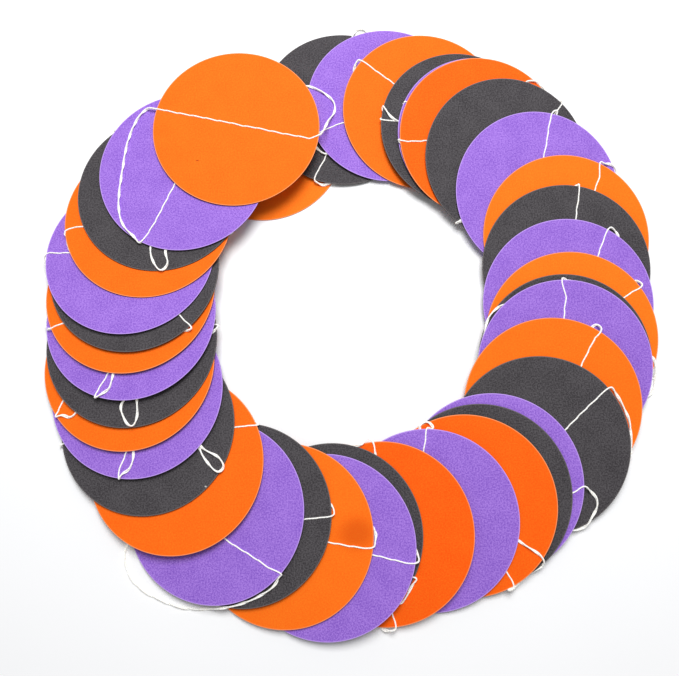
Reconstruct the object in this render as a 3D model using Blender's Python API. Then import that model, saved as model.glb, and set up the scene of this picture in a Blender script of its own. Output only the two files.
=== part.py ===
"""Streamer garland: forty round cards sewn one after another onto a single thread.

The garland lies as it was put down, once round in a ring, its discs fallen on each
other like dominoes. Disc 40 lies flat on the ground and disc 1 ends up on top.
The heap is worked out from the bottom up: each disc takes the lowest place in which
it rests on what already lies there, and the thread is draped over what it crosses.
Lengths are in millimetres until an object is made. +Z is up, and the origin is on
the ground, at the middle of the box around the discs.
"""

import math

import bmesh
import bpy
import numpy as np
from mathutils import Matrix, Vector

# Driving dimensions.
DISC_DIAMETER = 50.0
CARD_THICKNESS = 0.25
THREAD_DIAMETER = 0.3
CLEARANCE = 0.12  # left between card and thread, or card and card, that touch
LOOP_OUT = 1.2  # how far past a disc's edge the thread turns
STITCH_INSET = 0.5  # how far inside the edge the thread settles onto the disc
LEAN_SHARE = 0.5  # share of the radius at which a disc is pressed down
LAST_DISCS = 4  # this many of the top discs were pressed down on their near side
THREAD_FALL = 0.4  # steepest rise or fall of a loose thread, as height over length

# How finely the shapes are worked out.
DISC_SIDES = 36
RIM_POINTS = 96
SAMPLE_STEP = 0.5
THIN_SHARE = 0.8  # how much of the clearance the thinned thread may use up
THIN_SIDEWAYS = 2.0  # how much further it may stray sideways than up or down
CROSSING_APART = 3.0  # thread this far along its own length counts as another piece
CROSSING_ROUNDS = 4  # how many times over a thread may lie on its own crossings
INNER_RINGS = (0.25, 0.5, 0.75)  # shares of the radius where a disc is looked at for support
NOTHING = 1e-6  # a height or a product smaller than this counts as nothing

MM = 0.001

RADIUS = DISC_DIAMETER / 2
THREAD_RADIUS = THREAD_DIAMETER / 2
STRAY = THIN_SHARE * CLEARANCE
LIFT = THREAD_RADIUS + CLEARANCE
REACH = LIFT + THIN_SIDEWAYS * STRAY
CROSSING_LIFT = THREAD_DIAMETER + CLEARANCE
CROSSING_REACH = CROSSING_LIFT + THIN_SIDEWAYS * STRAY

# Each disc, from the top of the heap down: the middle's x and y, then the two
# directions, in degrees anticlockwise from +X, where the seam comes onto the disc
# and leaves it. They were read off the photograph to half a millimetre.
DISCS = [
    (-31, 63, -7, 166),
    (-46.5, 49.5, -116, 58),
    (-53, 43.5, -30, 129),
    (-56.5, 35.5, 8, -168),
    (-61.5, 24.5, 5, -177),
    (-60, 19.5, -45, 120),
    (-61, 13.5, -150, 24),
    (-60.5, 6, -111, 47),
    (-60, -1.5, 10, 170),
    (-60.5, -8, -144, 89),
    (-58, -15.5, -98, 57),
    (-54.5, -25.5, 40, -167),
    (-46, -36, 28, 165),
    (-34.5, -49, 155, -40),
    (-27, -50, -172, 2),
    (-15.5, -55.5, 173, -7),
    (-4, -58.5, 164, -9),
    (-2, -55.5, -148, -28),
    (12, -55, 115, -84),
    (24.5, -51.5, -90, 92),
    (35, -47.5, -59, 126),
    (39.5, -44.5, -68, 130),
    (43, -41.5, -124, -2),
    (56.5, -31, -132, 40),
    (60.5, -20, -115, 61),
    (64.5, -9, -81, 93),
    (65, -7, -12, -168),
    (67.5, 0, -149, 36),
    (67, 10, -106, 61),
    (67, 20.5, -96, 80),
    (67.5, 30, -82, 64),
    (59.5, 43.5, -98, 78),
    (50.5, 54, -129, 42),
    (43, 61, 0, 180),
    (42.5, 62, 4, 157),
    (37.5, 64.5, -9, 169),
    (26, 70.5, -33, 140),
    (15, 73, 24, -156),
    (1, 72, 67, -113),
    (-23.5, 61, 16, -164),
]

# The loose thread between neighbouring discs: the points it passes on its way from
# one disc's edge to the next. The first route is the free end before disc 1, which
# stops at that disc's edge, and the last one is the free end after disc 40.
ROUTES = [
    [(-9.5, 78), (-4.5, 75.5), (-2, 72.5), (-2, 70), (-4, 66), (-5.5, 61.5)],
    [
        (-59.5, 70.5), (-62.5, 65.5), (-64.5, 59), (-65, 50), (-65, 40.5), (-64.5, 36.5),
        (-63, 32), (-58.5, 27.5),
    ],
    [
        (-43.5, 51), (-54, 32.5), (-54.5, 26), (-54, 22), (-52, 19.5), (-49.5, 20),
        (-50.5, 25), (-43.5, 28),
    ],
    [(-60, 62), (-45, 48)],
    [(-81, 30), (-81, 28), (-79.5, 25.5), (-77, 24), (-58, 21.5)],
    [(-88, 22.5), (-86.5, 20), (-66, 6)],
    [(-82.5, 30.5), (-87, 19.5), (-88.5, 14), (-88.5, 8.5), (-87.5, 3)],
    [(-50.5, 7.5), (-63, -8), (-64, -12.5), (-64.5, -15.5), (-66, -16.5)],
    [
        (-50.5, 1.5), (-57, -15.5), (-56.5, -23), (-57.5, -26), (-59, -25.5), (-60.5, -23),
        (-61.5, -20.5), (-60.5, -18.5), (-51, -8.5),
    ],
    [(-81, -4), (-75, -18.5), (-74.5, -22), (-76.5, -23.5), (-78.5, -22.5)],
    [(-56.5, -13), (-57.5, -32), (-57, -35), (-59.5, -37), (-59.5, -39), (-60.5, -38.5)],
    [
        (-41, -18.5), (-39, -31.5), (-36, -37), (-34, -38.5), (-32.5, -36.5), (-33.5, -34),
        (-39.5, -31), (-38, -20),
    ],
    [(-54, -22.5)],
    [(-65.5, -35.5)],
    [
        (-16, -65.5), (-17.5, -68.5), (-25, -73), (-37, -75.5), (-44, -75), (-49.5, -73),
        (-54.5, -70.5), (-58, -67), (-59.5, -63), (-59.5, -59),
    ],
    [(-1.5, -49), (-2, -47.5), (-11, -43.5)],
    [(9.5, -57.5), (10, -55.5), (9, -53), (-2.5, -47.5)],
    [(21.5, -61.5), (18, -55.5), (-2.5, -46)],
    [
        (19.5, -68.5), (18.5, -71.5), (16, -73.5), (11, -62), (10, -33.5), (9.5, -30.5),
        (8.5, -29), (7.5, -29), (6.5, -31),
    ],
    [(15, -80.5), (13.5, -81), (11.5, -80.5), (12.5, -70.5)],
    [
        (25, -26.5), (26.5, -27), (26, -25.5), (24.5, -24.5), (22.5, -26), (33.5, -40.5),
        (48.5, -56.5), (55, -61), (56, -63.5), (55, -66), (48, -71), (45, -71.5),
        (45.5, -70),
    ],
    [(25.5, -35), (36, -57)],
    [(22.5, -41)],
    [
        (68.5, -42.5), (71.5, -45.5), (71.5, -48.5), (70, -51), (68.5, -53.5), (65, -54.5),
        (56, -51.5),
    ],
    [
        (77, -15.5), (78.5, -17.5), (80.5, -20.5), (82, -24), (83, -31), (82, -35),
        (77.5, -38), (64, -42),
    ],
    [(74.5, 1.5), (73.5, 3), (71.5, 1.5), (63, -18.5)],
    [
        (64.5, 16), (66.5, 15.5), (68.5, 15.5), (69.5, 14.5), (59.5, 9), (47.5, 9),
        (43.5, 6), (42, 4), (40.5, -0.5), (40, -7),
    ],
    [(90.5, -6), (91, -8.5), (91.5, -12), (90.5, -16), (87, -18), (63.5, -12.5)],
    [(88.5, 15), (88, 16), (86.5, 16.5), (74.5, 1.5)],
    [(80, 32.5), (81, 32), (82.5, 30), (76.5, 14)],
    [(71, 46), (70, 45.5), (67, 26)],
    [(78, 52.5), (82.5, 52.5), (84, 51), (84, 48.5), (75, 38.5), (62.5, 26.5)],
    [(66, 69), (62.5, 60), (45, 41.5)],
    [(68, 74.5), (64.5, 78.5), (61, 80), (57, 78.5), (61.5, 70)],
    [(24, 56.5), (49, 65.5)],
    [(18, 71.5), (21.5, 69), (43, 66)],
    [(14, 66), (12.5, 67), (12.5, 68.5), (14.5, 71), (28, 67.5)],
    [(5, 85.5), (4.5, 83.5), (8, 79), (25, 76.5)],
    [(-8, 60), (-6.5, 58), (-4, 56.5), (0, 68.5), (3, 86.5), (4, 96), (5.5, 99), (8, 99)],
    [(-7.5, 48), (-5, 47), (-3, 47.5), (-1.5, 48.5), (0, 58.5)],
    [(-47.5, 49.5), (-43.5, 44)],
]

# Colours as linear red, green and blue.
ORANGE_CARD = (0.95, 0.18, 0.015)
PURPLE_CARD = (0.38, 0.18, 0.72)
BLACK_CARD = (0.075, 0.068, 0.07)
WHITE_THREAD = (0.85, 0.83, 0.78)
CARD_ROUGHNESS = 0.85
THREAD_ROUGHNESS = 0.7


def colour_name(number):
    """Orange, purple and black in turn, but discs 21 and 22 were sewn the other way round."""
    swapped = {21: "orange", 22: "black"}
    return swapped.get(number, ("orange", "purple", "black")[(number - 1) % 3])


def circle(radius, count, start=0.0):
    """Points round a circle about the origin, the first of them in the start direction."""
    turn = start + np.linspace(0, 2 * math.pi, count, endpoint=False)
    return radius * np.column_stack([np.cos(turn), np.sin(turn)])


class Disc:
    """A disc's place: the middle, the two ends of its seam, and the plane of its underside."""

    def __init__(self, x, y, on_degrees, off_degrees):
        self.middle = np.array([x, y], float)
        self.seam = [math.radians(on_degrees), math.radians(off_degrees)]
        self.height = 0.0
        self.slope = np.zeros(2)

    def seam_ends(self, radius):
        """Where the seam's line comes on and goes off, at this distance from the middle."""
        return [self.middle + radius * np.array([math.cos(a), math.sin(a)]) for a in self.seam]

    def underside(self, points):
        return self.height + (points - self.middle) @ self.slope

    def top(self, points):
        return self.underside(points) + CARD_THICKNESS * math.sqrt(1 + self.slope @ self.slope)

    def covers(self, points, margin):
        return np.hypot(*(points - self.middle).T) < RADIUS + margin

    def matrix(self):
        """Turns and moves a disc that is centred on the origin to its place."""
        normal = Vector((-self.slope[0], -self.slope[1], 1)).normalized()
        turn = Vector((0, 0, 1)).rotation_difference(normal).to_matrix().to_4x4()
        foot = Vector((*self.middle, self.height))
        return Matrix.Translation(foot + normal * CARD_THICKNESS / 2) @ turn


def heap_top(points, discs, thread):
    """Height of the heap at each point, for a thread that is laid over it."""
    height = np.zeros(len(points))
    for disc in discs:
        near = disc.covers(points, REACH)
        height[near] = np.maximum(height[near], disc.top(points[near]))
    if len(thread):
        apart = np.hypot(*(points[:, None] - thread[None, :, :2]).T).T
        over = np.where(apart < CROSSING_REACH, thread[:, 2] + THREAD_RADIUS, 0)
        height = np.maximum(height, over.max(axis=1))
    return height


def supports(disc, discs, thread, ring_start):
    """The places that can hold a disc up, and how high its underside must be there.

    The first RIM_POINTS of them are the ground under the disc's own edge.
    """
    edge = disc.middle + circle(RADIUS + CLEARANCE, RIM_POINTS, ring_start)
    places = [edge]
    heights = [np.zeros(RIM_POINTS)]
    inner = [disc.middle + circle(share * RADIUS, RIM_POINTS) for share in INNER_RINGS]
    own = np.concatenate([edge, *inner, [disc.middle]])
    for other in discs:
        rim = other.middle + circle(RADIUS + CLEARANCE, RIM_POINTS)
        shared = np.concatenate([own[other.covers(own, CLEARANCE)], rim[disc.covers(rim, CLEARANCE)]])
        places.append(shared)
        heights.append(other.top(shared) + CLEARANCE)
    if len(thread):
        near = thread[disc.covers(thread[:, :2], REACH)]
        places.append(near[:, :2])
        heights.append(near[:, 2] + LIFT)
    return np.concatenate(places) - disc.middle, np.concatenate(heights)


def rest(disc, discs, thread, lean):
    """Lays a disc on the heap: the lowest plane under the point where it is pressed.

    It starts on three points of the ground around that point. While something sticks
    up through the plane, the highest such thing becomes one of the three feet, in
    place of the foot that leaves the pressed point between the three.
    """
    places, heights = supports(disc, discs, thread, math.atan2(lean[1], lean[0]))
    rows = np.column_stack([np.ones(len(places)), places])
    pressed = np.array([1.0, *lean])
    feet = [0, RIM_POINTS // 3, 2 * RIM_POINTS // 3]
    for _ in range(len(places)):
        plane = np.linalg.solve(rows[feet], heights[feet])
        excess = heights - rows @ plane
        highest = int(np.argmax(excess))
        if excess[highest] < NOTHING:
            break
        trials = [[*feet[:i], highest, *feet[i + 1 :]] for i in range(3)]
        trials = [feet for feet in trials if abs(np.linalg.det(rows[feet])) > NOTHING]
        feet = max(trials, key=lambda trial: np.linalg.solve(rows[trial].T, pressed).min())
    disc.height = plane[0]
    disc.slope = plane[1:]


def smooth_line(points):
    """Samples a smooth curve through the points, a step apart or closer.

    It is a centripetal Catmull-Rom curve. The first and last point only give it the
    direction in which it starts and ends.
    """
    pieces = []
    for p0, p1, p2, p3 in zip(points, points[1:], points[2:], points[3:]):
        t0 = 0.0
        t1 = t0 + math.sqrt(math.dist(p0, p1))
        t2 = t1 + math.sqrt(math.dist(p1, p2))
        t3 = t2 + math.sqrt(math.dist(p2, p3))
        count = max(2, math.ceil(math.dist(p1, p2) / SAMPLE_STEP))
        t = np.linspace(t1, t2, count, endpoint=False)[:, None]
        a1 = (t1 - t) / (t1 - t0) * p0 + (t - t0) / (t1 - t0) * p1
        a2 = (t2 - t) / (t2 - t1) * p1 + (t - t1) / (t2 - t1) * p2
        a3 = (t3 - t) / (t3 - t2) * p2 + (t - t2) / (t3 - t2) * p3
        b1 = (t2 - t) / (t2 - t0) * a1 + (t - t0) / (t2 - t0) * a2
        b2 = (t3 - t) / (t3 - t1) * a2 + (t - t1) / (t3 - t1) * a3
        pieces.append((t2 - t) / (t2 - t1) * b1 + (t - t1) / (t2 - t1) * b2)
    return np.concatenate([*pieces, points[-2:-1]])


def distance_along(line):
    steps = np.hypot(*np.diff(line[:, :2], axis=0).T)
    return np.concatenate([[0], np.cumsum(steps)])


def drape(line, after, discs, thread):
    """Gives a thread's line its heights: over the heap, over itself, never too steep.

    It ends level with the top of the disc after it, just outside that disc's edge.
    """
    along = distance_along(line)
    fall = THREAD_FALL * np.abs(along[:, None] - along)
    apart = np.hypot(*(line[:, None] - line[None]).T).T
    crosses = (apart < CROSSING_REACH) & (along[:, None] - along > CROSSING_APART)
    ground = heap_top(line, discs, thread)
    lowest = np.where(ground > 0, ground + LIFT, THREAD_RADIUS)
    if after:
        lowest[-1] = max(lowest[-1], after.top(line[-1:])[0] + LIFT)
    for _ in range(CROSSING_ROUNDS):
        height = (lowest - fall).max(axis=1)
        over_itself = np.where(crosses, height + CROSSING_LIFT, 0).max(axis=1)
        lowest = np.maximum(lowest, over_itself)
    return np.column_stack([line, (lowest - fall).max(axis=1)])


def hang_from_edge(disc, run):
    """Lets the run of thread after a disc sink away from the disc's edge by degrees."""
    along = distance_along(run)
    start = disc.top(run[:1, :2])[0] + THREAD_RADIUS
    under = disc.covers(run[:, :2], REACH)
    under[-1] = True
    first = max(1, int(np.argmax(under)))
    fall = max(THREAD_FALL, (start - run[first, 2]) / along[first])
    run[:first, 2] = np.maximum(run[:first, 2], start - fall * along[:first])


def stitch_line(disc):
    """The straight seam across the top of a disc."""
    start, end = disc.seam_ends(RADIUS - STITCH_INSET)
    count = max(2, math.ceil(math.dist(start, end) / SAMPLE_STEP))
    line = start + np.linspace(0, 1, count)[:, None] * (end - start)
    return np.column_stack([line, disc.top(line) + LIFT])


def loose_line(before, via, after):
    """The thread's line from the disc before, through its points, to the disc after."""
    points = np.array(via, float)
    if before:
        on, off = before.seam_ends(RADIUS + LOOP_OUT)
        points = np.vstack([(on + off) / 2, off, points])
    else:
        points = np.vstack([2 * points[0] - points[1], points])
    if after:
        on, off = after.seam_ends(RADIUS + LOOP_OUT)
        points = np.vstack([points, on, (on + off) / 2])
    else:
        points = np.vstack([points, 2 * points[-1] - points[-2]])
    return smooth_line(points)


def lean_of(number, discs):
    """Where a disc is pressed down, from its middle: towards the disc that comes next,
    which lies on it, and for the last discs on the near side, where they were put down."""
    if number <= LAST_DISCS:
        way = np.array([0.0, -1.0])
    else:
        way = discs[number - 2].middle - discs[number - 1].middle
    return LEAN_SHARE * RADIUS * way / np.hypot(*way)


def thin_out(line):
    """Leaves out the points that the line between their neighbours passes closely enough."""
    scaled = line / [THIN_SIDEWAYS, THIN_SIDEWAYS, 1]
    kept = {0, len(line) - 1}
    spans = [(0, len(line) - 1)]
    while spans:
        first, last = spans.pop()
        if last - first < 2:
            continue
        chord = scaled[last] - scaled[first]
        offset = scaled[first + 1 : last] - scaled[first]
        share = np.clip(offset @ chord / (chord @ chord), 0, 1)
        stray = np.linalg.norm(offset - share[:, None] * chord, axis=1)
        if stray.max() > STRAY:
            middle = first + 1 + int(np.argmax(stray))
            kept.add(middle)
            spans += [(first, middle), (middle, last)]
    return line[sorted(kept)]


def lay_garland():
    """Builds up the heap from disc 40 to disc 1. Gives the discs and the thread's line."""
    discs = [Disc(*row) for row in DISCS]
    line = []
    laid = []
    thread = np.zeros((0, 3))
    for index in range(len(discs), -1, -1):
        before = discs[index - 1] if index else None
        after = discs[index] if index < len(discs) else None
        run = drape(loose_line(before, ROUTES[index], after), after, laid, thread)
        if before:
            rest(before, laid, np.vstack([thread, run]), lean_of(index, discs))
            hang_from_edge(before, run)
            stitch = stitch_line(before)
            laid.append(before)
            thread = np.vstack([thread, run, stitch])
            line.insert(0, thin_out(run))
            line.insert(0, stitch[[0, -1]])
        else:
            line.insert(0, thin_out(run))
    return discs, np.concatenate(line)


def make_material(name, colour, roughness):
    material = bpy.data.materials.new(name)
    material.use_nodes = True
    shader = material.node_tree.nodes["Principled BSDF"]
    shader.inputs["Base Color"].default_value = (*colour, 1)
    shader.inputs["Roughness"].default_value = roughness
    material.diffuse_color = (*colour, 1)
    return material


def make_card_mesh(name, material):
    """A round card: a short many-sided cylinder centred on the origin."""
    shape = bmesh.new()
    bmesh.ops.create_cone(
        shape,
        cap_ends=True,
        segments=DISC_SIDES,
        radius1=RADIUS * MM,
        radius2=RADIUS * MM,
        depth=CARD_THICKNESS * MM,
    )
    mesh = bpy.data.meshes.new(name)
    shape.to_mesh(mesh)
    shape.free()
    mesh.shade_smooth()
    mesh.set_sharp_from_angle(angle=math.radians(30))
    mesh.materials.append(material)
    return mesh


def make_thread(name, line, material, collection):
    """The whole thread as one round tube along its line."""
    curve = bpy.data.curves.new(name, "CURVE")
    curve.dimensions = "3D"
    curve.bevel_depth = THREAD_RADIUS * MM
    curve.bevel_resolution = 2
    curve.use_fill_caps = True
    spline = curve.splines.new("POLY")
    spline.points.add(len(line) - 1)
    spline.points.foreach_set("co", np.column_stack([line * MM, np.ones(len(line))]).ravel())
    curve.materials.append(material)
    collection.objects.link(bpy.data.objects.new(name, curve))


def ring_middle(discs):
    """The middle of the box around the discs, seen from above."""
    corners = circle(RADIUS, DISC_SIDES)
    places = []
    for disc in discs:
        for side in (-CARD_THICKNESS / 2, CARD_THICKNESS / 2):
            places += [(disc.matrix() @ Vector((x, y, side)))[:2] for x, y in corners]
    places = np.array(places)
    return (places.min(axis=0) + places.max(axis=0)) / 2


def build_garland():
    for obj in list(bpy.data.objects):
        bpy.data.objects.remove(obj)
    garland = bpy.data.collections.new("streamer_garland")
    bpy.context.scene.collection.children.link(garland)
    colours = {"orange": ORANGE_CARD, "purple": PURPLE_CARD, "black": BLACK_CARD}
    cards = {
        name: make_card_mesh(f"{name}_card", make_material(f"{name}_card", colour, CARD_ROUGHNESS))
        for name, colour in colours.items()
    }
    discs, line = lay_garland()
    middle = ring_middle(discs)
    to_origin = Matrix.Translation((-middle[0], -middle[1], 0))
    for number, disc in enumerate(discs, 1):
        colour = colour_name(number)
        place = to_origin @ disc.matrix()
        card = bpy.data.objects.new(f"disc_{number:02d}_{colour}", cards[colour])
        card.location = place.translation * MM
        card.rotation_euler = place.to_euler()
        garland.objects.link(card)
    white = make_material("white_thread", WHITE_THREAD, THREAD_ROUGHNESS)
    make_thread("sewing_thread", line - [*middle, 0], white, garland)


build_garland()
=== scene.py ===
# %% [markdown]
# # A streamer garland
# A streamer garland is a row of round cards, sewn one after another onto one thread by a
# sewing machine. This one lies coiled once round in a ring, as it was put down.
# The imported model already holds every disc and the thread's route at their true sizes, so
# it is loaded first, and each piece below takes its place from it.
# Lengths here are in millimetres until a mesh is made, where MM turns them into metres.

# %% Load the frame
import math

import bpy
import numpy as np
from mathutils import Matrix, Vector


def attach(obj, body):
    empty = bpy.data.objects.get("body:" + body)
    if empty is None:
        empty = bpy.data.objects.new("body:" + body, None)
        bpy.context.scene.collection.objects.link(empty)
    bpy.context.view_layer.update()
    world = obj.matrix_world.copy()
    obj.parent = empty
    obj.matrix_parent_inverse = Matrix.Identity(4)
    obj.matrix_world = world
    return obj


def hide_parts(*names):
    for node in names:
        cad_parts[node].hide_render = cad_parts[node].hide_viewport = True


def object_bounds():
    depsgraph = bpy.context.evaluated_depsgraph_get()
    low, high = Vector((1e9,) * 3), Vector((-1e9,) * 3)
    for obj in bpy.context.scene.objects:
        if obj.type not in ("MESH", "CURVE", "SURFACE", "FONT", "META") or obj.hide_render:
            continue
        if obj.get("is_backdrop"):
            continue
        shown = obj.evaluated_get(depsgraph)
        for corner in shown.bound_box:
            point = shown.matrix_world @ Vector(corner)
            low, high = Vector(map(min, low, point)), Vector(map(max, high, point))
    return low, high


MM = 0.001
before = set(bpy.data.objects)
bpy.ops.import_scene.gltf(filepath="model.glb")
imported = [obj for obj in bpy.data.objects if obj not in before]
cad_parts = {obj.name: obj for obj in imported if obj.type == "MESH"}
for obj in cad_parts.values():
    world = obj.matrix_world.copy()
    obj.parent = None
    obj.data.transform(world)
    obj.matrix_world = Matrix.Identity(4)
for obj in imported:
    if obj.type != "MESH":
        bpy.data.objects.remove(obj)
cad_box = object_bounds()
print("the frame's box in mm:", [[round(x / MM, 1) for x in corner] for corner in cad_box])

# %% [markdown]
# ## The camera
# The photograph looks down on the ring from almost straight above. The camera was worked
# out from the outlines of the discs, which are circles of known size: it stands 194 mm
# from the middle of the picture, 9.3 degrees off the vertical, with a 35 mm lens.
# A camera could also be placed by eye, but then the thread and the discs would not fall
# on the same places as in the photograph.

# %% Place the camera
PICTURE_CENTRE = np.array([-3.004, -7.25])
CAMERA_DISTANCE = 194.0
CAMERA_TILT = math.radians(9.31)
LENS = 35.0
SENSOR_WIDTH = 36.0


def add_camera():
    """Puts the camera at its distance along a line that leans back from the vertical."""
    camera = bpy.data.objects.new("camera", bpy.data.cameras.new("camera"))
    camera.data.lens = LENS
    camera.data.sensor_width = SENSOR_WIDTH
    camera.data.clip_start = 10 * MM
    back = -CAMERA_DISTANCE * math.sin(CAMERA_TILT)
    up = CAMERA_DISTANCE * math.cos(CAMERA_TILT)
    camera.location = (PICTURE_CENTRE[0] * MM, (PICTURE_CENTRE[1] + back) * MM, up * MM)
    camera.rotation_euler = (CAMERA_TILT, 0, 0)
    bpy.context.scene.collection.objects.link(camera)
    bpy.context.scene.camera = camera
    return camera


print("camera at, in mm:", [round(x / MM, 1) for x in add_camera().location])

# %% [markdown]
# ## Where the discs lie
# Each disc of the frame is a flat plate with 36 corners on each side. Its middle is the
# mean of those corners, and its normal is the direction in which they spread least.
# The places could be typed in as numbers, but read from the frame they stay right when
# the model changes.

# %% Read the discs from the frame
DISC_RADIUS = 25.0


class Disc:
    """A disc's place: its middle, its normal, and half of its thickness."""

    def __init__(self, node, seam_degrees):
        corners = np.array([v.co for v in node.data.vertices]) / MM
        corners = np.unique(np.round(corners, 4), axis=0)
        self.middle = corners.mean(axis=0)
        spread = np.linalg.svd(corners - self.middle, full_matrices=False)[2]
        self.normal = spread[2] * np.sign(spread[2][2])
        self.half = float(np.abs((corners - self.middle) @ self.normal).max())
        self.seam = np.radians(seam_degrees)

    def level(self, points, above=0.0):
        """Height of the disc's middle plane at each x and y, or of one this far above it."""
        sideways = (points[:, :2] - self.middle[:2]) @ self.normal[:2]
        return self.middle[2] + (above - sideways) / self.normal[2]

    def covers(self, points, margin):
        """Which points are over or under the disc, or no further than the margin beside it."""
        away = np.hypot(*(points[:, :2] - self.middle[:2]).T)
        return away < DISC_RADIUS + margin

    def edge_point(self, end, out=0.0):
        """Where the seam's line meets the disc's edge, or this far outside it; end is 0 or 1."""
        angle = self.seam[end]
        way = np.array([math.cos(angle), math.sin(angle)])
        return self.middle[:2] + (DISC_RADIUS + out) * way


# The two directions, in degrees anticlockwise from +X, in which the thread comes onto
# each disc and leaves it, from the top of the heap down.
SEAM_DIRECTIONS = [
    (-5.5, 166), (-116, 58), (-30, 129), (8, -170), (5, -179), (-45, 120), (-153, 24),
    (-109, 47), (10, 170), (-143, 89), (-97, 57), (40, -167), (25, 165), (155, -41),
    (-172, -1), (173, -7), (164, -9), (-148, -25), (115, -82), (-90, 91), (-59, 126),
    (-68, 130), (-124, -2), (-132, 40), (-115, 58), (-81, 93), (-12, -168), (-149, 36),
    (-106, 61), (-96, 79), (-82, 66), (-98, 78), (-129, 45), (0, -177), (4, 157),
    (-9, 176.5), (-33, 140), (24, -155), (67, -111), (16, -164),
]
disc_names = sorted(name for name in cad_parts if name.startswith("disc_"))
discs = [Disc(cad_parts[n], s) for n, s in zip(disc_names, SEAM_DIRECTIONS)]
print(len(discs), "discs,", round(2 * discs[0].half, 3), "mm thick")

# %% [markdown]
# ## The thread's route
# The thread is limp, so between two discs it lies wherever it fell. These are the points
# that it passes, seen from above, on its way from one disc's edge to the next. The first
# row is the free end before disc 1, tucked a little under that disc, and the last row
# the free end after disc 40. They follow the route of the model's own thread, in places
# up to 4 mm beside it. The heights need no list: the thread lies on what is under it. On
# five discs it slips round the card's edge, and goes on one or two cards deeper or higher
# in the heap.

# %% List the loops
LOOPS = [
    [(-12, 79), (-9, 78), (-4, 75.5), (-1.5, 72.5), (-1.5, 70), (-3.5, 66), (-5, 61.5)],
    [
        (-58.5, 69.5), (-61, 66.5), (-63.5, 59), (-64.5, 50), (-65, 40.5), (-64.5, 36),
        (-63, 32), (-59.5, 28.5),
    ],
    [
        (-43.5, 51), (-54, 32.5), (-55, 26), (-54, 21.5), (-51.5, 18.5), (-49.5, 20.5),
        (-50.5, 25), (-43.5, 28),
    ],
    [(-60, 62), (-45, 48)],
    [(-80.5, 30), (-80.5, 28), (-79.5, 25.5), (-77, 24), (-58, 21.5)],
    [(-87, 22.5), (-85.5, 20), (-66, 9)],
    [(-81, 30.5), (-84.5, 19.5), (-85, 14), (-85, 8.5), (-85.5, 3)],
    [(-50.5, 7.5), (-63, -8), (-64, -12.5), (-64.5, -15.5), (-66, -16.5)],
    [
        (-50.5, 1.5), (-57, -15.5), (-56.5, -23), (-57.5, -26), (-59, -25.5), (-60.5, -23),
        (-61.5, -20.5), (-60.5, -18.5), (-51, -8.5),
    ],
    [(-81, -4), (-75, -18.5), (-74.5, -22), (-76.5, -23.5), (-78.5, -22.5)],
    [(-56.5, -13), (-57.5, -32), (-57.5, -35.5), (-58.5, -38), (-60.5, -39)],
    [
        (-41, -18.5), (-39.5, -31), (-37, -35.5), (-33.5, -38.5), (-32, -37), (-33.5, -34.5),
        (-39, -31), (-38, -20),
    ],
    [(-54, -22.5)],
    [(-65.5, -35.5)],
    [
        (-16, -65.5), (-17.5, -68.5), (-25, -73), (-37, -75.5), (-44, -75), (-49.5, -73),
        (-54.5, -70.5), (-58, -67), (-59.5, -63), (-59.5, -59),
    ],
    [(-1.5, -49), (-2, -47.5), (-11, -43.5)],
    [(9.5, -57.5), (10, -55.5), (9, -53), (-2.5, -47.5)],
    [(21.5, -61.5), (18, -55.5), (-2.5, -46)],
    [
        (19.5, -69), (18.5, -71), (16.5, -73.5), (11, -62), (10, -33.5), (9.5, -30.5),
        (8.5, -29), (7.5, -29), (6.5, -31),
    ],
    [(15, -80.5), (13.5, -81), (11.5, -80.5), (12.5, -70.5)],
    [
        (25, -26.5), (26.5, -27), (26, -25.5), (24.5, -24.5), (22.5, -26), (33.5, -40.5),
        (48.5, -56.5), (55, -61), (56, -63.5), (53.5, -65), (50, -68), (47, -70),
        (45.5, -70),
    ],
    [(25.5, -35), (36, -57)],
    [(22.5, -41)],
    [
        (68.5, -42.5), (71.5, -45.5), (71.5, -48.5), (70, -51), (68.5, -53.5), (65, -54.5),
        (56, -51.5),
    ],
    [
        (77, -15.5), (78.5, -17.5), (80, -20.5), (81.5, -24), (82, -31), (81.5, -35),
        (77.5, -38), (64, -42),
    ],
    [(74.5, 1.5), (73.5, 3), (71.5, 1.5), (63, -18.5)],
    [
        (64.5, 16), (66.5, 15.5), (68.5, 15.5), (69.5, 14.5), (59.5, 9), (47.5, 9),
        (43.5, 6), (42.5, 4), (41.5, -0.5), (41, -7),
    ],
    [(90.5, -6), (91, -8.5), (91.5, -12), (90.5, -16), (87, -18), (63.5, -12.5)],
    [(88.5, 15), (88, 16), (86.5, 16.5), (74.5, 1.5)],
    [(80, 32.5), (81, 32), (82.5, 30), (76.5, 14)],
    [(71, 45.5), (70, 45), (67, 26)],
    [(79.5, 52.5), (81.5, 53), (83.5, 51.5), (84, 49), (75, 38.5), (62.5, 26.5)],
    [(66, 69), (62.5, 60), (45, 41.5)],
    [(66.5, 73), (63, 77), (60.5, 79), (57, 78.5), (61.5, 70)],
    [(24, 56.5), (49, 65.5)],
    [(19.5, 71.5), (22, 69.5), (43, 66)],
    [
        (13.5, 67.5), (13.5, 69.5), (13, 71), (15.5, 67.5), (17.5, 66), (20, 65.5),
        (28, 67.5),
    ],
    [(5, 85.5), (4.5, 83.5), (8, 79), (25, 76.5)],
    [(-8, 60), (-6.5, 58), (-4, 56.5), (0, 68.5), (3, 86.5), (4, 96), (5.5, 99), (8, 99)],
    [(-7.5, 48), (-5, 47), (-3, 47.5), (-1.5, 48.5), (0, 58.5)],
    [(-47.5, 49.5), (-43.5, 44)],
]
LOOPS = [np.array(points, float) + PICTURE_CENTRE for points in LOOPS]
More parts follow.
